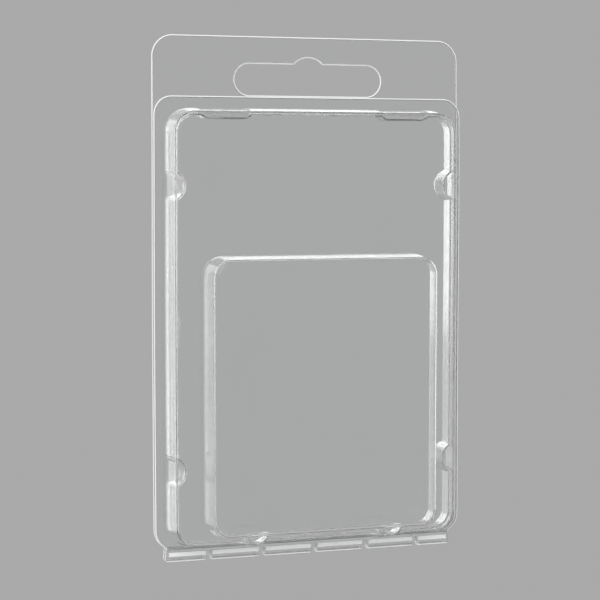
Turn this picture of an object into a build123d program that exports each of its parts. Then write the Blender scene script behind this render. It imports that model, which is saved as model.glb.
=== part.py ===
from build123d import *
from math import radians, tan
import os

# Clear hanging clamshell pack, formed from one plastic sheet and folded shut along its bottom edge.
# X runs to the right, Y away from the viewer, Z up, in millimetres.
# The hang slot's centre is the origin, and Y = 0 is the plane where the two closed halves meet.
# A depth is measured from that plane towards the viewer.

# Sheet
sheet = 0.4
flange_gap = 1.0
nest_clearance = 0.3
overrun = 2.0

# Flanges and hang tab
pack_width = 67.0
tab_top_z = 8.8
tab_corner_radius = 4.4
lid_top_z = -3.5
lid_corner_radius = 3.8
flange_bottom_z = -95.6
flange_bottom_radius = 4.0

# Hang slot
slot_width = 32.0
slot_height = 6.4
bump_radius = 4.1
bump_height = 1.4

# Raised field inside the flange, and the plug on the back that nests in it
field_width = 62.4
field_top_z = -5.85
field_bottom_gap = 0.4
field_corner_radius = 5.0
field_height = 5.1
field_draft_angle = 9.0
field_edge_radius = 0.6
card_space = 0.6

# Blister on the raised field
blister_width = 49.6
blister_top_z = -35.5
blister_bottom_gap = 2.5
blister_corner_radius = 4.2
blister_height = 6.0
blister_draft_angle = 8.5
blister_edge_radius = 1.2

# Half-round snap grooves in the plug's side walls
groove_radius = 2.9
groove_places_z = (-21.6, -79.2)

# Long shallow snap notches in the plug's top wall
notch_spacing = 38.8
notch_width = 15.6
notch_floor_width = 8.4
notch_floor_z = -7.85
notch_round = 2.4

# Shallow dents in the lid's walls, opposite the grooves and notches
dent_depth = 0.25
dent_front_gap = 1.0
side_dent_length = 4.2
top_dent_length = 9.4

# Half-round stacking lugs under the blister
lug_spacing = 29.2
lug_radius = 2.7
lug_rise = 1.1
lug_height = 4.6
lug_draft_angle = 5.0

# Perforated fold along the bottom
fold_drop = 2.8
fold_length = 63.0
fold_end_radius = 1.3
neck_inset = 0.6
hole_count = 5
end_web_length = 8.5
hole_width = 1.5
hole_shift = 0.8
hole_rise = 0.5
web_end_radius = 0.5
fold_cut_gap = 0.06

# Heights that follow the flange's bottom edge
field_bottom_z = flange_bottom_z + field_bottom_gap
blister_bottom_z = field_bottom_z + blister_bottom_gap
lug_centre_z = blister_bottom_z + lug_rise
fold_bottom_z = flange_bottom_z - fold_drop

# Depths of the faces, and lengths along the fold
lid_inner_depth = flange_gap / 2
lid_outer_depth = lid_inner_depth + sheet
field_face_depth = lid_outer_depth + field_height
blister_face_depth = field_face_depth + blister_height
lug_face_depth = field_face_depth + lug_height
plug_face_depth = field_face_depth - sheet - card_space
back_inner_depth = -flange_gap / 2
back_outer_depth = back_inner_depth - sheet
fold_radius = lid_outer_depth
fold_centre_z = fold_bottom_z + fold_radius
neck_length = fold_length - 2 * neck_inset
hole_pitch = (fold_length - 2 * end_web_length) / (hole_count - 1)


def at_depth(depth):
    """Drawing plane parallel to the flanges, facing the viewer."""
    return Plane.XZ.offset(depth)


def lean(draft_angle, depth):
    """How far a drafted wall moves inwards over a depth."""
    return depth * tan(radians(draft_angle))


def panel_outline(width, top_z, bottom_z, top_radius, bottom_radius):
    """Upright panel with one radius at its top corners and another at its bottom corners."""
    panel = Pos(0, (top_z + bottom_z) / 2) * Rectangle(width, top_z - bottom_z)
    panel = fillet(panel.vertices().group_by(Axis.Y)[-1], top_radius)
    return fillet(panel.vertices().group_by(Axis.Y)[0], bottom_radius)


def drafted_block(width, top_z, bottom_z, corner_radius, draft_angle, from_depth, to_depth, edge_radius):
    """Block whose walls lean inwards towards the viewer, with a rounded front edge if a radius is given."""
    outline = Pos(0, (top_z + bottom_z) / 2) * RectangleRounded(width, top_z - bottom_z, corner_radius)
    block = extrude(at_depth(from_depth) * outline, amount=to_depth - from_depth, taper=draft_angle)
    if not edge_radius:
        return block
    front_face = block.faces().sort_by(Axis.Y)[0]
    return fillet(front_face.edges(), edge_radius)


def field_block(inset, from_depth, to_depth, edge_radius):
    """Raised field with its walls inset from the lid's outer skin, between two depths."""
    shift = inset + lean(field_draft_angle, from_depth - lid_outer_depth)
    return drafted_block(field_width - 2 * shift, field_top_z - shift, field_bottom_z + shift,
                         field_corner_radius - shift, field_draft_angle, from_depth, to_depth, edge_radius)


def blister_block(inset, from_depth, to_depth, edge_radius):
    """Blister with its walls inset from the lid's outer skin, between two depths."""
    shift = inset + lean(blister_draft_angle, from_depth - field_face_depth)
    return drafted_block(blister_width - 2 * shift, blister_top_z - shift, blister_bottom_z + shift,
                         blister_corner_radius - shift, blister_draft_angle, from_depth, to_depth, edge_radius)


def lug_blocks(inset, from_depth, to_depth):
    """The two half-round lugs, inset from the lid's outer skin."""
    radius = lug_radius - inset - lean(lug_draft_angle, from_depth - field_face_depth)
    lugs = Part()
    for side in (-1, 1):
        circle = Pos(side * lug_spacing / 2, lug_centre_z) * Circle(radius)
        lugs += extrude(at_depth(from_depth) * circle, amount=to_depth - from_depth, taper=lug_draft_angle)
    return lugs


def notch_outline():
    """Shallow notch with sloping ends and a flat floor, open past the plug's top wall."""
    rise = field_top_z - notch_floor_z
    half_floor = notch_floor_width / 2
    half_mouth = notch_width / 2
    notch = make_face(Polyline(
        (-half_floor, 0), (half_floor, 0), (half_mouth, rise), (half_mouth, rise + overrun),
        (-half_mouth, rise + overrun), (-half_mouth, rise), close=True))
    return fillet(notch.vertices().group_by(Axis.Y)[0], notch_round)


def snap_cutters(grow):
    """Straight cutters for the plug's side grooves and top notches, grown for the skin behind them."""
    back_stop = back_outer_depth - 2 * overrun
    reach = field_face_depth + overrun - back_stop
    notch = offset(notch_outline(), amount=grow) if grow else notch_outline()
    outlines = [Pos(side * notch_spacing / 2, notch_floor_z) * notch for side in (-1, 1)]
    for z in groove_places_z:
        outlines += [Pos(side * field_width / 2, z) * Circle(groove_radius + grow) for side in (-1, 1)]
    cutters = Part()
    for outline in outlines:
        cutters += extrude(at_depth(back_stop) * outline, amount=reach)
    return cutters


def dent_layer(inset, grow):
    """Thin layer taken off the lid's walls at the dents, inset and grown for the skin it shapes."""
    back_stop = lid_inner_depth - overrun
    reach = field_face_depth - dent_front_gap + grow - back_stop
    zones = Part()
    for side in (-1, 1):
        top_zone = Rectangle(top_dent_length + 2 * grow, 2 * overrun)
        side_zone = Rectangle(2 * overrun, side_dent_length + 2 * grow)
        outlines = [Pos(side * notch_spacing / 2, field_top_z) * top_zone]
        outlines += [Pos(side * field_width / 2, z) * side_zone for z in groove_places_z]
        for outline in outlines:
            zones += extrude(at_depth(back_stop) * outline, amount=reach)
    return zones - field_block(inset + dent_depth, back_stop - overrun, field_face_depth, 0)


def slot_outline():
    """Hang slot with round ends and a round bump that centres the peg."""
    bump_centre_z = slot_height / 2 + bump_height - bump_radius
    return SlotOverall(slot_width, slot_height) + Pos(0, bump_centre_z) * Circle(bump_radius)


def web_outline():
    """The fold seen from the front: webs with rounded ends between punched holes."""
    strip_top_z = flange_bottom_z + sheet
    strip = Pos(0, (strip_top_z + fold_bottom_z) / 2) * Rectangle(fold_length, strip_top_z - fold_bottom_z)
    hole_top_z = fold_centre_z + hole_rise
    hole_length = hole_top_z - fold_bottom_z + overrun
    first_hole_x = hole_shift - hole_pitch * (hole_count - 1) / 2
    for index in range(hole_count):
        hole_place = Pos(first_hole_x + index * hole_pitch, hole_top_z - hole_length / 2)
        strip -= hole_place * SlotOverall(hole_length, hole_width, rotation=90)
    strip = fillet(strip.vertices().group_by(Axis.Y)[0].sort_by(Axis.X)[1:-1], web_end_radius)
    tips = strip.vertices().sort_by(Axis.X)
    ends = [v for v in (tips[0], tips[1], tips[-2], tips[-1]) if v.Y < fold_centre_z]
    return fillet(ends, fold_end_radius)


def fold_half():
    """Front quarter of the folded bead and its neck; the back half carries the mirror image."""
    ring = Circle(fold_radius) - Circle(fold_radius - sheet)
    quarter_width = fold_radius - fold_cut_gap / 2
    quarter_centre = -(fold_cut_gap + quarter_width) / 2
    quarter = Pos(quarter_centre, -fold_radius / 2) * Rectangle(quarter_width, fold_radius)
    bead_section = Pos(0, fold_centre_z) * (ring & quarter)
    bead = extrude(Plane.YZ * bead_section, amount=fold_length / 2, both=True)
    neck_top_z = flange_bottom_z + sheet
    neck_plan = Pos(0, (neck_top_z + fold_centre_z) / 2) * Rectangle(neck_length, neck_top_z - fold_centre_z)
    neck = extrude(at_depth(lid_inner_depth) * neck_plan, amount=sheet)
    webs = extrude(at_depth(-overrun) * web_outline(), amount=fold_radius + 2 * overrun)
    return (bead + neck) & webs


def front_half():
    """Lid: flange, raised field with dented walls, blister and lugs, in one skin of even thickness."""
    flange = panel_outline(pack_width, lid_top_z, flange_bottom_z, lid_corner_radius, flange_bottom_radius)
    skin = field_block(0, lid_inner_depth, field_face_depth, field_edge_radius) - dent_layer(0, 0)
    skin += extrude(at_depth(lid_inner_depth) * flange, amount=sheet)
    skin += blister_block(0, field_face_depth - sheet, blister_face_depth, blister_edge_radius)
    skin += lug_blocks(0, field_face_depth - sheet, lug_face_depth)
    hollow = field_block(sheet, lid_inner_depth - overrun, field_face_depth - sheet, 0)
    hollow -= dent_layer(sheet, sheet)
    hollow += blister_block(sheet, field_face_depth - overrun, blister_face_depth - sheet,
                            blister_edge_radius - sheet)
    hollow += lug_blocks(sheet, field_face_depth - overrun, lug_face_depth - sheet)
    return skin - hollow + fold_half()


def back_half():
    """Back: flange with the hang tab, and a hollow grooved plug that nests in the lid's raised field."""
    flange = panel_outline(pack_width, tab_top_z, flange_bottom_z, tab_corner_radius, flange_bottom_radius)
    outer_inset = sheet + nest_clearance
    inner_inset = outer_inset + sheet
    skin = field_block(outer_inset, back_outer_depth, plug_face_depth, field_edge_radius) - snap_cutters(0)
    skin += extrude(at_depth(back_outer_depth) * (flange - slot_outline()), amount=sheet)
    hollow = field_block(inner_inset, back_outer_depth - overrun, plug_face_depth - sheet, 0)
    hollow -= snap_cutters(sheet)
    return skin - hollow + mirror(fold_half(), about=Plane.XZ)


os.makedirs("parts", exist_ok=True)
export_step(front_half(), "parts/front_half.step")
export_step(back_half(), "parts/back_half.step")
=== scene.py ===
import math

import bmesh
import bpy
import numpy as np
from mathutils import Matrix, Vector
from mathutils.geometry import delaunay_2d_cdt


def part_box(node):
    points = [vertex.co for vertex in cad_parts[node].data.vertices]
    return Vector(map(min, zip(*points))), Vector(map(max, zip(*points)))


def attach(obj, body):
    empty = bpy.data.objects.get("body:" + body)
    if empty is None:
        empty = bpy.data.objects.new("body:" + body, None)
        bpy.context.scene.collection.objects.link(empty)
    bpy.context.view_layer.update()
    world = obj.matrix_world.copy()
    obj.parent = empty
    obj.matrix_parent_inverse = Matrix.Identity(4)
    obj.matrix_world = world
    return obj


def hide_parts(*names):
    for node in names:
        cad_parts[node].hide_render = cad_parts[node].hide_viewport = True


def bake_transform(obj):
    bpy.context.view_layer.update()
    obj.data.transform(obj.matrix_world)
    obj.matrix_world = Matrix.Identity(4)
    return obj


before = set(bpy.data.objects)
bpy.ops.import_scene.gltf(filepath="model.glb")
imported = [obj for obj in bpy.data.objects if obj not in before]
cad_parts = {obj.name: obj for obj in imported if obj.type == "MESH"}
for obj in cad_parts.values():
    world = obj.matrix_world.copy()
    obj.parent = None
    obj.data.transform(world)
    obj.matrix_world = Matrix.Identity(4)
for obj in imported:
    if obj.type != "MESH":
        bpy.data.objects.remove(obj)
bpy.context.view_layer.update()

# A clear formed pack with a hang tab. Outlines are drawn in millimetres, x to the right and z up,
# and a depth is measured towards the viewer from the plane where the two closed halves meet.
MM = 0.001
QUARTER = math.pi / 2
back_low, back_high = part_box("back_half")
lid_low, lid_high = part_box("front_half")

# Places in the list of the sheet's materials. The cut edges, and the fold's crease and fold line,
# take a white that paints the bright highlights they catch. The snap notches take real scuffing.
CLEAR, EDGE_HIGHLIGHT, SCUFFED, FOLD_HIGHLIGHT = range(4)

# Sheet and flanges
sheet = 0.4
half_width = back_high.x / MM
tab_top_z = back_high.z / MM
tab_corner_radius = 4.4
lid_top_z = lid_high.z / MM
lid_corner_radius = 3.8
flange_bottom_z = -95.6
flange_bottom_radius = 4.0
back_depth = -back_high.y / MM
back_face_depth = back_depth + sheet
lid_depth = -back_depth

# Borders of the flanges and of the slot, rolled to the back where they were cut
rim_roll_width = 0.2
rim_roll_drop = 0.15
fold_roll_width = 0.04

# Hang slot
slot_half_width = 16.0
slot_half_height = 3.2
bump_radius = 4.1
bump_height = 1.4
bump_blend = 0.5

# Raised field on the lid, and the plug of the back that nests in it
field_half_width = 31.2
field_top_z = -5.85
field_bottom_z = -95.2
field_corner_radius = 5.0
field_depth = 6.0
field_draft = math.radians(9.0)
field_edge_round = 0.6
field_base_round = 0.3
plug_inset = 0.7
plug_depth = 5.0
plug_edge_round = 0.6
plug_base_round = 0.35

# Blister on the raised field
blister_half_width = 24.8
blister_top_z = -35.5
blister_bottom_z = -92.7
blister_corner_radius = 4.2
blister_depth = -lid_low.y / MM
blister_draft = math.radians(8.5)
blister_edge_round = 1.2
blister_base_round = 0.5

# Half-round snap grooves in the plug's side walls
groove_radius = 2.9
groove_places_z = (-21.6, -79.2)
groove_mouth_round = 0.6

# Long shallow snap notches in the plug's top wall: pockets with a steep, scuffed back wall
notch_half_spacing = 19.4
notch_half_mouth = 7.2
notch_half_floor = 4.2
notch_floor_inset = 2.0
notch_floor_round = 2.0
notch_mouth_round = 1.0
notch_back_depth = 2.0
notch_back_fade = 0.25
notch_back_share = 0.03
scuff_half_length = 6.6

# Shallow dents in the lid's walls, opposite the grooves and notches
dent_depth = 0.25
dent_end_round = 0.3
dent_front_depth = 5.0
dent_fade_depth = 5.3
side_dent_half_length = 2.3
top_dent_half_length = 5.2

# Half-round stacking lugs under the blister
lug_half_spacing = 14.6
lug_radius = 2.65
lug_centre_z = -91.6
lug_depth = 10.6
lug_draft = math.radians(5.0)
lug_edge_round = 0.7
lug_blend = 0.6
lug_flare_share = 0.4
lug_pad_share = 0.62
lug_pad_half_width = 4.4

# Ledge on a lug: how much of the lug is left on the way in, and then with the climb up the wall
ledge_end_depth = 10.95
ledge_shares = (0.8, 0.55, 0.3, 0.18)
ledge_climb = ((1.02, 0.09), (1.1, 0.03), (1.25, 0.008), (1.4, 0.0))

# Perforated fold along the bottom
fold_bottom_z = back_low.z / MM
fold_centre_z = fold_bottom_z + lid_depth
fold_half_length = 31.5
fold_end_radius = 1.3
fold_seam = 0.02
neck_half_length = 31.3
# The crease band and the fold line are painted white as the highlights the fold catches
crease_highlight_top_z = -96.3
crease_highlight_low_z = -97.05
fold_line_highlight_top_z = -97.85
fold_line_highlight_low_z = -98.15
hole_count = 5
hole_pitch = 11.5
hole_shift = 0.8
hole_half_width = 0.75
hole_rise = 0.5
hole_round_z = fold_centre_z + hole_rise - hole_half_width
web_end_radius = 0.5

# Slight bow and waviness of the formed sheet
bow_share = 0.003
long_wave_height = 0.10
long_wave_x = 9.0
long_wave_z = 14.0
long_wave_start = 0.7
short_wave_height = 0.06
short_wave_x = 5.3
short_wave_z = 11.0
wave_fade_share = 0.06

# Fineness of the meshes
flat_hold = 0.06
round_steps = 7
corner_steps = 14
groove_steps = 18
mouth_steps = 7
run_steps = 9
run_bulge = 0.003
wall_steps = 4
rim_roll_steps = 4
neck_steps = 5
hole_steps = 8
bead_steps = 32
web_steps = 12
web_end_columns = 2
fill_spacing = 2.4
fill_margin_share = 0.45
fill_tolerance = 1e-6
points_at_once = 2000
weld_distance = 0.004
sharp_angle = math.radians(50)
level_normal = 0.9


# Outlines

def smooth(share):
    """A share from 0 to 1 that starts and ends gently."""
    return share * share * (3 - 2 * share)


def arc(centre_x, centre_z, radius, start, end, steps):
    """Points on a circle, both ends included."""
    angles = np.linspace(start, end, steps + 1)
    return np.column_stack([centre_x + radius * np.cos(angles), centre_z + radius * np.sin(angles)])


def mirrored(piece):
    """A piece of a clockwise outline on the other side of the pack's middle."""
    return piece[::-1] * np.array([-1, 1])


def inner_points(first, last, steps):
    """Points strictly between two ends of a straight run."""
    share = np.linspace(0, 1, steps + 1)[1:-1, None]
    return np.asarray(first) * (1 - share) + np.asarray(last) * share


def rounded_corner(before, corner, after, radius, steps):
    """Arc that rounds the corner of a path."""
    before, corner, after = (np.asarray(p, float) for p in (before, corner, after))
    back = (before - corner) / np.linalg.norm(before - corner)
    ahead = (after - corner) / np.linalg.norm(after - corner)
    half = math.acos(np.clip(back @ ahead, -1, 1)) / 2
    bisector = (back + ahead) / np.linalg.norm(back + ahead)
    centre = corner + bisector * radius / math.sin(half)
    first = corner + back * radius / math.tan(half) - centre
    last = corner + ahead * radius / math.tan(half) - centre
    sweep = math.pi - 2 * half
    share = np.linspace(0, 1, steps + 1)[:, None]
    swept = np.sin((1 - share) * sweep) * first + np.sin(share * sweep) * last
    return centre + swept / math.sin(sweep)


def run(first, last, bulge):
    """Points strictly between two ends of a run that bulges to its left by next to nothing."""
    along = np.asarray(last) - np.asarray(first)
    left = np.array([-along[1], along[0]]) / np.hypot(*along)
    share = np.linspace(0, 1, run_steps + 1)[1:-1, None]
    return inner_points(first, last, run_steps) + left * bulge * 4 * share * (1 - share)


def joined(*pieces, bulge=run_bulge):
    """Pieces of an outline in order, with runs of inner points between them."""
    path = [pieces[0]]
    for piece in pieces[1:]:
        path.append(run(path[-1][-1], piece[0], bulge))
        path.append(piece)
    return np.vstack(path)


def closed(*pieces):
    """A closed outline: its last run leads back to its first point."""
    path = joined(*pieces)
    return np.vstack([path, run(path[-1], path[0], run_bulge)])


def bump_run(centre_x, centre_z, radius, line_z, blend, side):
    """A half-round bump on a level line.

    It is drawn towards +x on an upper edge (side 1), and towards -x on a lower edge (side -1).
    """
    rise = side * (line_z - centre_z) + blend
    reach = math.sqrt((radius + blend) ** 2 - rise ** 2)
    lean = math.atan2(rise, reach)
    first = arc(-reach, rise, blend, -QUARTER, -lean, mouth_steps)
    crown = arc(0, 0, radius, math.pi - lean, lean, groove_steps)[1:-1]
    last = arc(reach, rise, blend, math.pi + lean, 3 * QUARTER, mouth_steps)
    return np.vstack([first, crown, last]) * side + np.array([centre_x, centre_z])


def groove_run(wall, radius, mouth):
    """A half-round groove in a side wall as (inset, rise) from its centre, from top to bottom."""
    reach = math.sqrt((radius + mouth) ** 2 - (wall + mouth) ** 2)
    lean = math.atan2(reach, wall + mouth)
    top = arc(wall + mouth, reach, mouth, math.pi, math.pi + lean, mouth_steps)
    floor = arc(0, 0, radius, lean, -lean, groove_steps)[1:-1]
    bottom = arc(wall + mouth, -reach, mouth, math.pi - lean, math.pi, mouth_steps)
    return np.vstack([top, floor, bottom])


def notch_run(centre_x, wall, grow):
    """A shallow notch in the top wall as (x, inset), from left to right."""
    slope = math.atan2(notch_floor_inset, notch_half_mouth - notch_half_floor)
    floor = notch_floor_inset + grow
    mouth_x = notch_half_mouth - wall / math.tan(slope) + grow / math.sin(slope)
    floor_x = notch_half_mouth - floor / math.tan(slope) + grow / math.sin(slope)
    path = [(-mouth_x - 1, wall), (-mouth_x, wall), (-floor_x, floor),
            (floor_x, floor), (mouth_x, wall), (mouth_x + 1, wall)]
    rounds = (notch_mouth_round, notch_floor_round, notch_floor_round, notch_mouth_round)
    corners = [rounded_corner(*path[i:i + 3], radius, mouth_steps)
               for i, radius in enumerate(rounds)]
    return joined(*corners, bulge=-run_bulge) + np.array([centre_x, 0])


def flange_outline(top_z, top_radius, inset, fold_inset):
    """Flange drawn inwards by an inset, clockwise, with lower corners that swing into the neck."""
    corner_x = half_width - flange_bottom_radius
    corner_z = flange_bottom_z + flange_bottom_radius
    step = neck_half_length - corner_x
    neck_radius = step ** 2 / (2 * (flange_bottom_radius - step))
    neck_x = neck_half_length + neck_radius
    swing = math.atan2(flange_bottom_radius, neck_x - corner_x)
    neck_end = math.pi - math.asin(fold_inset / (neck_radius + inset))
    top = arc(half_width - top_radius, top_z - top_radius, top_radius - inset,
              QUARTER, 0, corner_steps)
    corner = arc(corner_x, corner_z, flange_bottom_radius - inset, 0, -swing, corner_steps)
    neck = arc(neck_x, flange_bottom_z, neck_radius + inset, math.pi - swing, neck_end, mouth_steps)
    bottom = np.vstack([corner, neck[1:]])
    return closed(mirrored(top), top, bottom, mirrored(bottom))


def flange_outlines(top_z, top_radius):
    """Outer edge of a flange, and the line where its rolled border starts."""
    edge = flange_outline(top_z, top_radius, 0, 0)
    return edge, flange_outline(top_z, top_radius, rim_roll_width, fold_roll_width)


def corner_arcs(half, top_z, bottom_z, radius, inset):
    """Corners of a rounded rectangle drawn inwards by an inset, clockwise from the top left."""
    x = half - radius
    top = top_z - radius
    bottom = bottom_z + radius
    inner_radius = radius - inset
    return (arc(-x, top, inner_radius, 2 * QUARTER, QUARTER, corner_steps),
            arc(x, top, inner_radius, QUARTER, 0, corner_steps),
            arc(x, bottom, inner_radius, 0, -QUARTER, corner_steps),
            arc(-x, bottom, inner_radius, -QUARTER, -2 * QUARTER, corner_steps))


def dent_run(half_length, wall, share):
    """A shallow dent along a wall as (place, inset), from its start to its end."""
    ends = half_length + dent_end_round * np.linspace(1, -1, mouth_steps + 1)
    middle = inner_points((-ends[-1],), (ends[-1],), run_steps)[:, 0]
    places = np.concatenate([-ends, middle, ends[::-1]])
    edge = np.clip((half_length + dent_end_round - np.abs(places)) / (2 * dent_end_round), 0, 1)
    return np.column_stack([places, wall + dent_depth * share * smooth(edge)])


def lug_pads(wall):
    """Stretches of the field's bottom wall that stand steeper, to carry the lugs, right to left."""
    share = np.linspace(1, -1, 4 * mouth_steps + 1)
    pad = lug_pad_share * (1 - share ** 2) ** 2 * max(wall, 0)
    return [np.column_stack([side * lug_half_spacing + share * lug_pad_half_width,
                             field_bottom_z + wall - pad]) for side in (1, -1)]


def field_outline(wall, dent_share):
    """Section of the lid's raised field: straight walls with shallow dents."""
    corners = corner_arcs(field_half_width, field_top_z, field_bottom_z, field_corner_radius, wall)
    place, inset = dent_run(top_dent_half_length, wall, dent_share).T
    top = [np.column_stack([side * notch_half_spacing + place, field_top_z - inset])
           for side in (-1, 1)]
    place, inset = dent_run(side_dent_half_length, wall, dent_share).T
    right = [np.column_stack([field_half_width - inset, z - place]) for z in groove_places_z]
    left = [np.column_stack([inset - field_half_width, z + place]) for z in groove_places_z[::-1]]
    return closed(corners[0], *top, corners[1], *right,
                  corners[2], *lug_pads(wall), corners[3], *left)


def plug_outline(draft_inset, round_inset, notch_share):
    """Section of the back's plug: drafted walls, straight grooves, part of the notches' depth."""
    wall = plug_inset + draft_inset + round_inset
    corners = corner_arcs(field_half_width, field_top_z, field_bottom_z, field_corner_radius, wall)
    inset, rise = groove_run(wall, groove_radius + round_inset, groove_mouth_round).T
    right = [np.column_stack([field_half_width - inset, z + rise]) for z in groove_places_z]
    left = [mirrored(groove) for groove in right[::-1]]
    notches = []
    for side in (-1, 1):
        x, inset = notch_run(side * notch_half_spacing, wall, round_inset).T
        inset = wall + (inset - wall) * notch_share
        notches.append(np.column_stack([x, field_top_z - inset]))
    return closed(corners[0], *notches, corners[1], *right, corners[2], corners[3], *left)


def blister_outline(inset, lug_inset):
    """Section of the blister with its two lugs, and how far each point stands out on a lug."""
    corners = corner_arcs(blister_half_width, blister_top_z, blister_bottom_z,
                          blister_corner_radius, inset)
    line_z = blister_bottom_z + inset
    ledge_z = blister_bottom_z + math.tan(blister_draft) * (ledge_end_depth - field_depth)
    lug_line_z = min(line_z, ledge_z)
    lift = np.array([0, line_z - lug_line_z])
    lugs = [bump_run(side * lug_half_spacing, lug_centre_z, lug_radius - lug_inset,
                     lug_line_z, lug_blend, -1) + lift for side in (1, -1)]
    outline = closed(corners[0], corners[1], corners[2], *lugs, corners[3])
    return outline, np.clip(line_z - outline[:, 1], 0, None)


def slot_outline(grow):
    """Hang slot with round ends and a round bump in its upper edge."""
    end = slot_half_width - slot_half_height
    half_height = slot_half_height + grow
    bump_z = slot_half_height + bump_height - bump_radius
    return closed(
        arc(-end, 0, half_height, 3 * QUARTER, QUARTER, 2 * corner_steps),
        bump_run(0, bump_z, bump_radius + grow, half_height, bump_blend - grow, 1),
        arc(end, 0, half_height, QUARTER, -QUARTER, 2 * corner_steps))


# Walls

def wall_rings(base_depth, face_depth, draft, base_round, edge_round, start_depth):
    """A drafted wall's rings, flat base to flat face, as (depth, draft inset, round inset)."""
    lean = math.tan(draft)
    turn = QUARTER - draft
    reach = math.tan(turn / 2)
    base_inset = lean * (base_depth - start_depth) - base_round * reach
    face_inset = lean * (face_depth - start_depth) + edge_round * reach
    angles = np.linspace(0, turn, round_steps + 1)
    points = [(base_depth, base_inset - flat_hold)]
    points += [(base_depth + base_round * (1 - math.cos(a)), base_inset + base_round * math.sin(a))
               for a in angles]
    upper = [(face_depth - edge_round * (1 - math.cos(a)), face_inset - edge_round * math.sin(a))
             for a in angles[::-1]]
    points += [tuple(p) for p in inner_points(points[-1], upper[0], wall_steps)]
    points += upper
    points.append((face_depth, face_inset + flat_hold))
    rings = []
    for depth, inset in points:
        draft_inset = lean * (depth - start_depth)
        rings.append((depth, draft_inset, inset - draft_inset))
    return rings


def level_ring(outline, depth):
    """An outline as points (x, depth, z) at one depth."""
    return np.column_stack([outline[:, 0], np.full(len(outline), depth), outline[:, 1]])


def front_outline(ring):
    """The outline of a ring as it is seen from the front."""
    return ring[:, ::2]


def rolled_rim(edge, inner, depth):
    """Narrow border of a flange where the die rolled the sheet's edge slightly to the back."""
    rings = []
    for share in np.linspace(0, 1, rim_roll_steps + 1):
        outline = inner * (1 - share) + edge * share
        rings.append(level_ring(outline, depth - rim_roll_drop * share * share))
    return strip(rings)


def field_rings():
    """The lid's raised field, from the flange to the field's face."""
    rings = wall_rings(lid_depth, field_depth, field_draft, field_base_round, field_edge_round,
                       lid_depth)
    result = []
    for depth, inset, rounding in rings:
        share = np.clip((dent_fade_depth - depth) / (dent_fade_depth - dent_front_depth), 0, 1)
        result.append(level_ring(field_outline(inset + rounding, share), depth))
    return result


def plug_rings():
    """The back's plug, from the flange to its face, with extra rings at the notches' back."""
    rings = wall_rings(back_face_depth, plug_depth, field_draft, plug_base_round, plug_edge_round,
                       lid_depth)
    rings = [ring for ring in rings if abs(ring[0] - notch_back_depth) > notch_back_fade]
    rings += [(depth, math.tan(field_draft) * (depth - lid_depth), 0.0)
              for depth in notch_back_depth + notch_back_fade * np.linspace(-1, 1, round_steps)]
    result = []
    for depth, inset, rounding in sorted(rings):
        share = (depth - notch_back_depth + notch_back_fade) / (2 * notch_back_fade)
        share = smooth(np.clip(share, notch_back_share, 1))
        result.append(level_ring(plug_outline(inset, rounding, share), depth))
    return result


def blister_rings():
    """The blister with its lugs. On a lug the wall stops at a ledge, and goes on from there."""
    rings = wall_rings(field_depth, blister_depth, blister_draft, blister_base_round,
                       blister_edge_round, field_depth)
    lean = math.tan(lug_draft)
    edge_start = lug_depth - lug_edge_round
    edge_inset = lean * (edge_start - field_depth)
    result = []
    for depth, inset, rounding in [r for r in rings if r[0] < edge_start]:
        lug_inset = lean * (depth - field_depth) + rounding * lug_flare_share
        outline, _ = blister_outline(inset + rounding, lug_inset)
        result.append(level_ring(outline, depth))
    ledge = [(math.sin(a), 1 - math.cos(a), 1.0) for a in np.linspace(0, QUARTER, round_steps + 1)]
    ledge += [(1.0, 1.0, share) for share in ledge_shares]
    ledge += [(rise, 1.0, share) for rise, share in ledge_climb]
    for step, (rise, shrink, share) in enumerate(ledge):
        wall_depth = edge_start + (ledge_end_depth - edge_start) * step / (len(ledge) - 1)
        lug_level = edge_start + lug_edge_round * rise
        inset = math.tan(blister_draft) * (wall_depth - field_depth)
        outline, stand = blister_outline(inset, edge_inset + lug_edge_round * shrink)
        weight = smooth(np.clip(stand / lug_edge_round, 0, 1))
        depths = wall_depth + weight * (lug_level - wall_depth)
        result.append(np.column_stack([outline[:, 0], depths, outline[:, 1] + stand * (1 - share)]))
    for depth, inset, rounding in [r for r in rings if r[0] > ledge_end_depth]:
        outline, stand = blister_outline(inset + rounding, edge_inset + lug_edge_round)
        outline[:, 1] += stand
        result.append(level_ring(outline, depth))
    return result


# Meshes

def inside(points, loops):
    """True for points within an odd number of the loops."""
    crossings = np.zeros(len(points), int)
    for loop in loops:
        x0, z0 = loop[:, 0], loop[:, 1]
        x1, z1 = np.roll(x0, -1), np.roll(z0, -1)
        rise = np.where(z1 == z0, 1, z1 - z0)
        for low in range(0, len(points), points_at_once):
            some = slice(low, low + points_at_once)
            px = points[some, 0, None]
            pz = points[some, 1, None]
            span = (z0 > pz) != (z1 > pz)
            hit = span & (px < x0 + (pz - z0) / rise * (x1 - x0))
            crossings[some] += hit.sum(1)
    return crossings % 2 == 1


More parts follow.
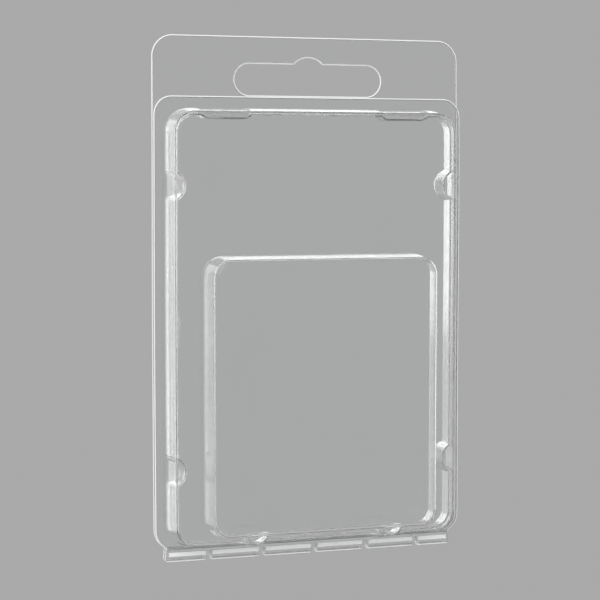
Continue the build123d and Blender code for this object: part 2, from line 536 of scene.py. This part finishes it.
def flat_fill(loops, depth):
    """A flat sheet between loops, with inner points so that it can bend: (points, triangles)."""
    low = loops[0].min(0)
    high = loops[0].max(0)
    row_spacing = fill_spacing * math.sqrt(0.75)
    grid = np.array([(x + (row % 2) * fill_spacing / 2, z)
                     for row, z in enumerate(np.arange(low[1], high[1], row_spacing))
                     for x in np.arange(low[0], high[0], fill_spacing)])
    edge = np.vstack(loops)
    near = np.array([np.min(np.hypot(*(edge - p).T)) for p in grid])
    grid = grid[inside(grid, loops) & (near > fill_spacing * fill_margin_share)]
    points = [Vector(p) for p in np.vstack([edge, grid])]
    edges = []
    start = 0
    for loop in loops:
        edges += [(start + i, start + (i + 1) % len(loop)) for i in range(len(loop))]
        start += len(loop)
    verts, _, faces, _, _, _ = delaunay_2d_cdt(points, edges, [], 0, fill_tolerance)
    verts = np.array([tuple(v) for v in verts])
    faces = np.array([f for f in faces if len(f) == 3])
    faces = faces[inside(verts[faces].mean(1), loops)]
    return level_ring(verts, depth), [tuple(int(i) for i in f) for f in faces]


def strip(rings):
    """Quads between closed rings of as many points each: (points, quads)."""
    count = len(rings[0])
    quads = []
    for ring in range(len(rings) - 1):
        for i in range(count):
            j = (i + 1) % count
            a, b = ring * count, (ring + 1) * count
            quads.append((a + i, a + j, b + j, b + i))
    return np.vstack(rings), quads


def bent(points):
    """Points moved by the sheet's bow and waves, alike for both halves, so they stay nested."""
    x, depth, z = points.T
    along = (z - fold_bottom_z) / (tab_top_z - fold_bottom_z)
    swell = np.sin(math.pi * np.clip(along, 0, 1))
    wave = long_wave_height * np.sin(x / long_wave_x + long_wave_start) * np.sin(z / long_wave_z)
    wave = wave + short_wave_height * np.sin(x / short_wave_x - z / short_wave_z)
    fade = np.clip(along / wave_fade_share, 0, 1)
    return np.column_stack([x * (1 + bow_share * swell), depth + wave * fade, z])


def on_notch_back(x, depth, z):
    """True on the scuffed back wall of a snap notch of the plug."""
    along = abs(abs(x) - notch_half_spacing) < scuff_half_length
    high = z > field_top_z - notch_floor_inset - sheet
    return along and high and abs(depth - notch_back_depth) < notch_back_fade


def weld(bm):
    """Join the parts of a mesh where they meet, and turn their faces the same way."""
    bmesh.ops.remove_doubles(bm, verts=bm.verts, dist=weld_distance * MM)
    bmesh.ops.recalc_face_normals(bm, faces=bm.faces)


def thickened(bm, name, materials, rim_step):
    """An object of the sheet's thickness, smooth on its skins and sharp at its cut edges.

    The cut faces take the material that many places after their neighbour's.
    """
    mesh = bpy.data.meshes.new(name)
    bm.to_mesh(mesh)
    bm.free()
    obj = bpy.data.objects.new(name, mesh)
    bpy.context.scene.collection.objects.link(obj)
    for material in materials:
        mesh.materials.append(material)
    solid = obj.modifiers.new("sheet", "SOLIDIFY")
    solid.thickness = sheet * MM
    solid.offset = -1
    solid.use_even_offset = True
    solid.use_quality_normals = True
    solid.material_offset_rim = rim_step
    depsgraph = bpy.context.evaluated_depsgraph_get()
    final = bpy.data.meshes.new_from_object(obj.evaluated_get(depsgraph))
    obj.modifiers.clear()
    obj.data = final
    for polygon in final.polygons:
        at_seam = abs(polygon.center.z / MM - flange_bottom_z) < 2 * fold_seam
        if at_seam and abs(polygon.normal.z) > level_normal:
            polygon.material_index = CLEAR
    final.polygons.foreach_set("use_smooth", [True] * len(final.polygons))
    final.set_sharp_from_angle(angle=sharp_angle)
    weighted = obj.modifiers.new("flat faces stay flat", "WEIGHTED_NORMAL")
    weighted.keep_sharp = True
    return obj


def sheet_object(name, parts, materials, scuffed=None):
    """One formed sheet from parts of its viewer's side, each with the place of its material.

    Faces with their middle where scuffed(x, depth, z) is true get the scuffed material instead.
    """
    bm = bmesh.new()
    for points, faces, material_index in parts:
        verts = [bm.verts.new((x, -depth, z)) for x, depth, z in bent(points) * MM]
        for face in faces:
            made = bm.faces.new([verts[i] for i in face])
            x, y, z = made.calc_center_median() / MM
            made.material_index = SCUFFED if scuffed and scuffed(x, -y, z) else material_index
    weld(bm)
    if sum(face.normal.y * face.calc_area() for face in bm.faces) > 0:
        bmesh.ops.reverse_faces(bm, faces=bm.faces)
    return thickened(bm, name, materials, 0)


def lid_sheet(materials):
    """Lid: flange, raised field and blister in one sheet."""
    field = field_rings()
    blister = blister_rings()
    edge, border = flange_outlines(lid_top_z, lid_corner_radius)
    field_loops = [front_outline(field[-1]), front_outline(blister[0])]
    parts = [
        # The rolled border is painted white: a painted highlight along the cut edge
        (*rolled_rim(edge, border, lid_depth), EDGE_HIGHLIGHT),
        (*flat_fill([border, front_outline(field[0])], lid_depth), CLEAR),
        (*strip(field), CLEAR),
        (*flat_fill(field_loops, field_depth), CLEAR),
        (*strip(blister), CLEAR),
        (*flat_fill([front_outline(blister[-1])], blister_depth), CLEAR)]
    return sheet_object("lid_sheet", parts, materials)


def back_sheet(materials):
    """Back: flange with the hang tab and its slot, and the plug."""
    plug = plug_rings()
    edge, border = flange_outlines(tab_top_z, tab_corner_radius)
    slot_edge, slot_border = slot_outline(0), slot_outline(rim_roll_width)
    flange_loops = [border, slot_border, front_outline(plug[0])]
    parts = [
        # The rolled borders of the flange and the slot are painted white: a painted highlight along
        # the cut edges
        (*rolled_rim(edge, border, back_face_depth), EDGE_HIGHLIGHT),
        (*rolled_rim(slot_edge, slot_border, back_face_depth), EDGE_HIGHLIGHT),
        (*flat_fill(flange_loops, back_face_depth), CLEAR),
        (*strip(plug), CLEAR),
        (*flat_fill([front_outline(plug[-1])], plug_depth), CLEAR)]
    return sheet_object("back_sheet", parts, materials, on_notch_back)


def end_half_length(z):
    """Half length of the fold at a height: the neck, then the bead with rounded lower corners."""
    neck_share = min(max((z - fold_centre_z) / lid_depth, 0), 1)
    length = fold_half_length + (neck_half_length - fold_half_length) * neck_share
    drop = fold_bottom_z + fold_end_radius - z
    if drop > 0:
        length -= fold_end_radius - math.sqrt(max(fold_end_radius ** 2 - drop ** 2, 0))
    return length


def hole_reach(z):
    """Half width of a punched hole at a height, 0 above the hole."""
    if z > hole_round_z:
        return math.sqrt(max(hole_half_width ** 2 - (z - hole_round_z) ** 2, 0))
    drop = fold_bottom_z + web_end_radius - z
    if drop > 0:
        return hole_half_width + web_end_radius - math.sqrt(max(web_end_radius ** 2 - drop ** 2, 0))
    return hole_half_width


def fold_rows():
    """Rows (depth, z) of the folded strip: down the lid's side, round the bead, up the back's."""
    levels = list(np.linspace(flange_bottom_z - fold_seam, hole_round_z + hole_half_width,
                              neck_steps + 1))
    levels += [hole_round_z + hole_half_width * math.cos(a)
               for a in np.linspace(0, QUARTER, hole_steps + 1)[1:]]
    levels = [z for z in levels if z > fold_centre_z]
    rows = [(lid_depth, z) for z in levels]
    rows += [(lid_depth * math.cos(a), fold_centre_z - lid_depth * math.sin(a))
             for a in np.linspace(0, math.pi, bead_steps + 1)]
    return rows + [(-lid_depth, z) for z in levels[::-1]]


def fold_webs(materials):
    """The folded strip along the bottom: six webs between five punched holes, bent into a bead."""
    holes = [hole_shift + hole_pitch * (i - (hole_count - 1) / 2) for i in range(hole_count)]
    across = 0.5 - 0.5 * np.cos(np.linspace(0, math.pi, web_steps + 1))
    bm = bmesh.new()
    for web in range(hole_count + 1):
        previous = None
        for depth, z in fold_rows():
            end = end_half_length(z)
            left = -end if web == 0 else holes[web - 1] + hole_reach(z)
            right = end if web == hole_count else holes[web] - hole_reach(z)
            points = np.array([(left + (right - left) * share, depth, z) for share in across])
            verts = [bm.verts.new((px, -d, pz)) for px, d, pz in bent(points) * MM]
            if previous:
                # Faces in the crease band, apart from the webs' ends, and faces along the fold line
                # are painted white as highlights
                in_crease_highlight = crease_highlight_top_z > z > crease_highlight_low_z
                in_fold_line_highlight = fold_line_highlight_top_z > z > fold_line_highlight_low_z
                for i in range(web_steps):
                    face = bm.faces.new((previous[i], previous[i + 1], verts[i + 1], verts[i]))
                    at_end = i < web_end_columns or i >= web_steps - web_end_columns
                    face.material_index = FOLD_HIGHLIGHT if in_fold_line_highlight or in_crease_highlight and not at_end else CLEAR
            previous = verts
    weld(bm)
    lowest = min(bm.faces, key=lambda f: f.calc_center_median().z)
    if lowest.normal.z > 0:
        bmesh.ops.reverse_faces(bm, faces=bm.faces)
    # The webs' cut edges, at the holes and the ends, are painted white as a highlight
    return thickened(bm, "fold_webs", materials, EDGE_HIGHLIGHT - CLEAR)


# Materials. A noise scale is in waves per metre along each axis.

plastic_ior = 1.57
clear_colour = (0.985, 0.99, 0.99, 1)
# White for the real scuffing at the snap notches, and for the painted highlights on the cut edges
# and the fold
scuff_and_highlight_white = (0.95, 0.955, 0.96, 1)
noise_detail = 3.0
noise_spread = (0.3, 0.7)
wall_facing = (0.35, 0.9)
smudge_scale = (90, 90, 60)
smudge_spread = (0.35, 0.75)
smudge_rough = (0.03, 0.09)
frost_scale = (1400, 200, 1400)
frost_rough = (0.03, 0.12)
draw_line_scale = (1600, 120, 1600)
ripple_scale = (260, 200, 45)
ripple_detail = 2.0
ripple_share = 0.6
sheet_bump_strength = 0.3
sheet_bump_distance = 0.02


def node(tree, kind, **values):
    """A shader node with its settings and plain inputs."""
    made = tree.nodes.new(kind)
    for key, value in values.items():
        if key in made.inputs:
            made.inputs[key].default_value = value
        else:
            setattr(made, key, value)
    return made


def noise(tree, place, scale, detail):
    """Noise over the object's own coordinates, with a scale for each axis."""
    stretch = node(tree, "ShaderNodeMapping", Scale=scale)
    tree.links.new(place.outputs["Object"], stretch.inputs["Vector"])
    made = node(tree, "ShaderNodeTexNoise", Scale=1.0, Detail=detail)
    tree.links.new(stretch.outputs["Vector"], made.inputs["Vector"])
    return made.outputs["Fac"]


def ranged(tree, value, old_range, new_range):
    """A value moved from one range to another, and held there."""
    made = node(tree, "ShaderNodeMapRange")
    for socket, number in zip(("From Min", "From Max", "To Min", "To Max"), old_range + new_range):
        made.inputs[socket].default_value = number
    tree.links.new(value, made.inputs["Value"])
    return made.outputs["Result"]


def combined(tree, operation, first, second):
    """Two values, or a value and a number, put together."""
    made = node(tree, "ShaderNodeMath", operation=operation)
    for socket, value in zip(made.inputs, (first, second)):
        if isinstance(value, (int, float)):
            socket.default_value = value
        else:
            tree.links.new(value, socket)
    return made.outputs[0]


def raised(tree, shader, height, strength, distance):
    """Give a shader a relief from a height, over a distance in millimetres."""
    bump = node(tree, "ShaderNodeBump", Strength=strength, Distance=distance * MM)
    tree.links.new(height, bump.inputs["Height"])
    tree.links.new(bump.outputs["Normal"], shader.inputs["Normal"])


def plastic(name, colour, transmission):
    """A plastic with its node tree, its shader and its own coordinates."""
    material = bpy.data.materials.new(name)
    material.use_nodes = True
    tree = material.node_tree
    shader = tree.nodes["Principled BSDF"]
    shader.inputs["Base Color"].default_value = colour
    shader.inputs["Transmission Weight"].default_value = transmission
    shader.inputs["IOR"].default_value = plastic_ior
    return material, tree, shader, node(tree, "ShaderNodeTexCoord")


def clear_sheet_material():
    """Clear glossy polyester: smudged and slightly rippled flats, and walls with draw lines."""
    material, tree, shader, place = plastic("clear_polyester", clear_colour, 1.0)
    normal = node(tree, "ShaderNodeSeparateXYZ")
    tree.links.new(place.outputs["Normal"], normal.inputs[0])
    facing = combined(tree, "ABSOLUTE", normal.outputs["Y"], 0)
    wall = ranged(tree, facing, wall_facing, (1, 0))
    smudge = noise(tree, place, smudge_scale, noise_detail)
    smudge = ranged(tree, smudge, smudge_spread, smudge_rough)
    frost = noise(tree, place, frost_scale, noise_detail)
    frost = ranged(tree, frost, noise_spread, frost_rough)
    rough = combined(tree, "ADD", smudge, combined(tree, "MULTIPLY", frost, wall))
    tree.links.new(rough, shader.inputs["Roughness"])
    draw_lines = noise(tree, place, draw_line_scale, noise_detail)
    draw_lines = combined(tree, "MULTIPLY", draw_lines, wall)
    ripples = noise(tree, place, ripple_scale, ripple_detail)
    ripples = combined(tree, "MULTIPLY", ripples, ripple_share)
    height = combined(tree, "ADD", draw_lines, ripples)
    raised(tree, shader, height, sheet_bump_strength, sheet_bump_distance)
    return material


def white_material(name, rough_range, grain_scale, bump_distance):
    """White, grainy plastic: real scuffing at the snap notches, and painted highlights on the cut
    edges and along the fold.
    """
    material, tree, shader, place = plastic(name, scuff_and_highlight_white, 0.0)
    grain = noise(tree, place, (grain_scale, grain_scale, grain_scale), noise_detail)
    tree.links.new(ranged(tree, grain, noise_spread, rough_range), shader.inputs["Roughness"])
    raised(tree, shader, grain, 1.0, bump_distance)
    return material


# Scene, in metres

backdrop_colour = (0.40, 0.40, 0.40, 1)
light_level = 0.95
floor_colour = (0.38, 0.38, 0.38, 1)
floor_rough = 0.8
floor_z = -0.28
floor_size = 3.0
floor_fade_start = 0.25
floor_fade_end = 0.45
lamp_aim = Vector((0, 0, -0.045))
half_bounce = 0.5
clear_bounces = 24
glossy_bounces = 12

# Camera as fitted to the photograph, in millimetres
camera_yaw = math.radians(20.0)
camera_pitch = 0.06393
camera_distance = 411.70
camera_target = Vector((0, 0.3, -45.34))
camera_shift = 1.797
camera_sensor = 36.0
camera_lens = 118.99


def seen_directly(tree):
    """1 for rays that see the backdrop: from the camera, or by way of a glossy or clear surface.

    A ray that lights a matt surface through the clear sheet counts as light.
    """
    path = node(tree, "ShaderNodeLightPath")
    seen = path.outputs["Is Camera Ray"]
    for name in ("Is Glossy Ray", "Is Transmission Ray"):
        seen = combined(tree, "MAXIMUM", seen, path.outputs[name])
    before_matt = combined(tree, "LESS_THAN", path.outputs["Diffuse Depth"], half_bounce)
    return combined(tree, "MULTIPLY", seen, before_matt)


def mixed(tree, share, first, second, output):
    """Send two shaders, mixed by a share, to an output node."""
    mix = node(tree, "ShaderNodeMixShader")
    tree.links.new(share, mix.inputs[0])
    tree.links.new(first.outputs[0], mix.inputs[1])
    tree.links.new(second.outputs[0], mix.inputs[2])
    tree.links.new(mix.outputs[0], output.inputs[0])


def make_world():
    """Even studio light, with a plain pale backdrop where it is seen."""
    world = bpy.data.worlds.new("studio")
    bpy.context.scene.world = world
    world.use_nodes = True
    tree = world.node_tree
    tree.nodes.clear()
    light = node(tree, "ShaderNodeBackground", Color=(1, 1, 1, 1), Strength=light_level)
    backdrop = node(tree, "ShaderNodeBackground", Color=backdrop_colour, Strength=1.0)
    mixed(tree, seen_directly(tree), light, backdrop, node(tree, "ShaderNodeOutputWorld"))


def make_floor():
    """Plain pale floor below the opened lid's reach, which fades into the backdrop."""
    mesh = bpy.data.meshes.new("floor")
    half = floor_size / 2
    corners = [(-half, -half, floor_z), (half, -half, floor_z),
               (half, half, floor_z), (-half, half, floor_z)]
    mesh.from_pydata(corners, [], [(0, 1, 2, 3)])
    floor = bpy.data.objects.new("floor", mesh)
    bpy.context.scene.collection.objects.link(floor)
    material = bpy.data.materials.new("floor")
    material.use_nodes = True
    tree = material.node_tree
    shader = tree.nodes["Principled BSDF"]
    shader.inputs["Base Color"].default_value = floor_colour
    shader.inputs["Roughness"].default_value = floor_rough
    place = node(tree, "ShaderNodeTexCoord")
    flatten = node(tree, "ShaderNodeVectorMath", operation="MULTIPLY")
    flatten.inputs[1].default_value = (1, 1, 0)
    tree.links.new(place.outputs["Object"], flatten.inputs[0])
    far = node(tree, "ShaderNodeVectorMath", operation="LENGTH")
    tree.links.new(flatten.outputs[0], far.inputs[0])
    fade = node(tree, "ShaderNodeMapRange", interpolation_type="SMOOTHSTEP")
    fade.inputs["From Min"].default_value = floor_fade_start
    fade.inputs["From Max"].default_value = floor_fade_end
    tree.links.new(far.outputs["Value"], fade.inputs["Value"])
    share = combined(tree, "MULTIPLY", fade.outputs[0], seen_directly(tree))
    backdrop = node(tree, "ShaderNodeEmission", Color=backdrop_colour, Strength=1.0)
    mixed(tree, share, shader, backdrop, tree.nodes["Material Output"])
    mesh.materials.append(material)


def hide_straight_through(lamp):
    """Keep a lamp out of sight straight through the clear sheet; reflections still show it."""
    lamp.use_nodes = True
    tree = lamp.node_tree
    path = node(tree, "ShaderNodeLightPath")
    unreflected = combined(tree, "LESS_THAN", path.outputs["Glossy Depth"], half_bounce)
    before_matt = combined(tree, "LESS_THAN", path.outputs["Diffuse Depth"], half_bounce)
    behind_sheet = combined(tree, "GREATER_THAN", path.outputs["Transmission Depth"], half_bounce)
    straight = combined(tree, "MULTIPLY", unreflected, before_matt)
    straight = combined(tree, "MULTIPLY", straight, behind_sheet)
    strength = combined(tree, "SUBTRACT", 1.0, straight)
    tree.links.new(strength, tree.nodes["Emission"].inputs["Strength"])


def softbox(name, direction, distance, width, height, radiance, in_gloss=True):
    """A soft, evenly bright rectangular lamp that faces the pack's middle, seen in gloss or not."""
    lamp = bpy.data.lights.new(name, "AREA")
    lamp.shape = "RECTANGLE"
    lamp.size = width
    lamp.size_y = height
    lamp.energy = radiance * math.pi * width * height
    obj = bpy.data.objects.new(name, lamp)
    obj.location = lamp_aim + Vector(direction).normalized() * distance
    obj.rotation_euler = (lamp_aim - obj.location).to_track_quat("-Z", "Y").to_euler()
    obj.visible_camera = False
    obj.visible_glossy = in_gloss
    obj.visible_transmission = in_gloss
    hide_straight_through(lamp)
    bpy.context.scene.collection.objects.link(obj)


def make_camera():
    """The photograph's viewing angle: from the left, slightly above, with a long lens."""
    level = math.cos(camera_pitch)
    right = Vector((math.cos(camera_yaw), -math.sin(camera_yaw), 0))
    forward = Vector((math.sin(camera_yaw) * level, math.cos(camera_yaw) * level,
                      -math.sin(camera_pitch)))
    target = camera_target - camera_shift * right
    camera = bpy.data.objects.new("camera", bpy.data.cameras.new("camera"))
    camera.data.sensor_width = camera_sensor
    camera.data.lens = camera_lens
    camera.location = (target - forward * camera_distance) * MM
    camera.rotation_euler = forward.to_track_quat("-Z", "Y").to_euler()
    bpy.context.scene.collection.objects.link(camera)
    bpy.context.scene.camera = camera


bpy.context.scene.view_settings.view_transform = "Standard"
bpy.context.scene.cycles.max_bounces = clear_bounces
bpy.context.scene.cycles.transmission_bounces = clear_bounces
bpy.context.scene.cycles.glossy_bounces = glossy_bounces

sheet_materials = [
    clear_sheet_material(),
    # White painted highlight for the cut edges
    white_material("painted_edge_highlight", (0.25, 0.5), grain_scale=2500, bump_distance=0.01),
    white_material("scuffed_snap", (0.1, 0.5), grain_scale=2600, bump_distance=0.08),
    # White painted highlight for the fold's crease band and fold line
    white_material("painted_fold_highlight", (0.12, 0.4), grain_scale=900, bump_distance=0.03)]
lid = lid_sheet(sheet_materials)
back = back_sheet(sheet_materials)
fold = fold_webs(sheet_materials)
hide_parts("front_half")
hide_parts("back_half")
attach(lid, "front")
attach(back, "back")
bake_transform(fold)

make_world()
make_floor()
make_camera()
softbox("left_softbox", direction=(-0.62, 0.78, 0.03), distance=0.45,
        width=0.26, height=0.46, radiance=1.6)
softbox("top_softbox", direction=(0.30, 0.86, 0.38), distance=0.45,
        width=0.45, height=0.13, radiance=1.6)
softbox("back_softbox", direction=(-0.028, 1.0, -0.222), distance=0.46,
        width=0.195, height=0.11, radiance=0.48)
softbox("corner_softbox", direction=(-0.028, 1.0, 0.144), distance=0.455,
        width=0.195, height=0.22, radiance=1.5)
softbox("right_softbox", direction=(0.86, 0.50, 0.10), distance=0.50,
        width=0.22, height=0.40, radiance=1.2)
softbox("key_softbox", direction=(-0.50, -0.75, 0.60), distance=0.60,
        width=0.55, height=0.55, radiance=0.7)
softbox("low_softbox", direction=(-0.20, -0.95, -0.25), distance=0.50,
        width=0.30, height=0.15, radiance=2.5, in_gloss=False)
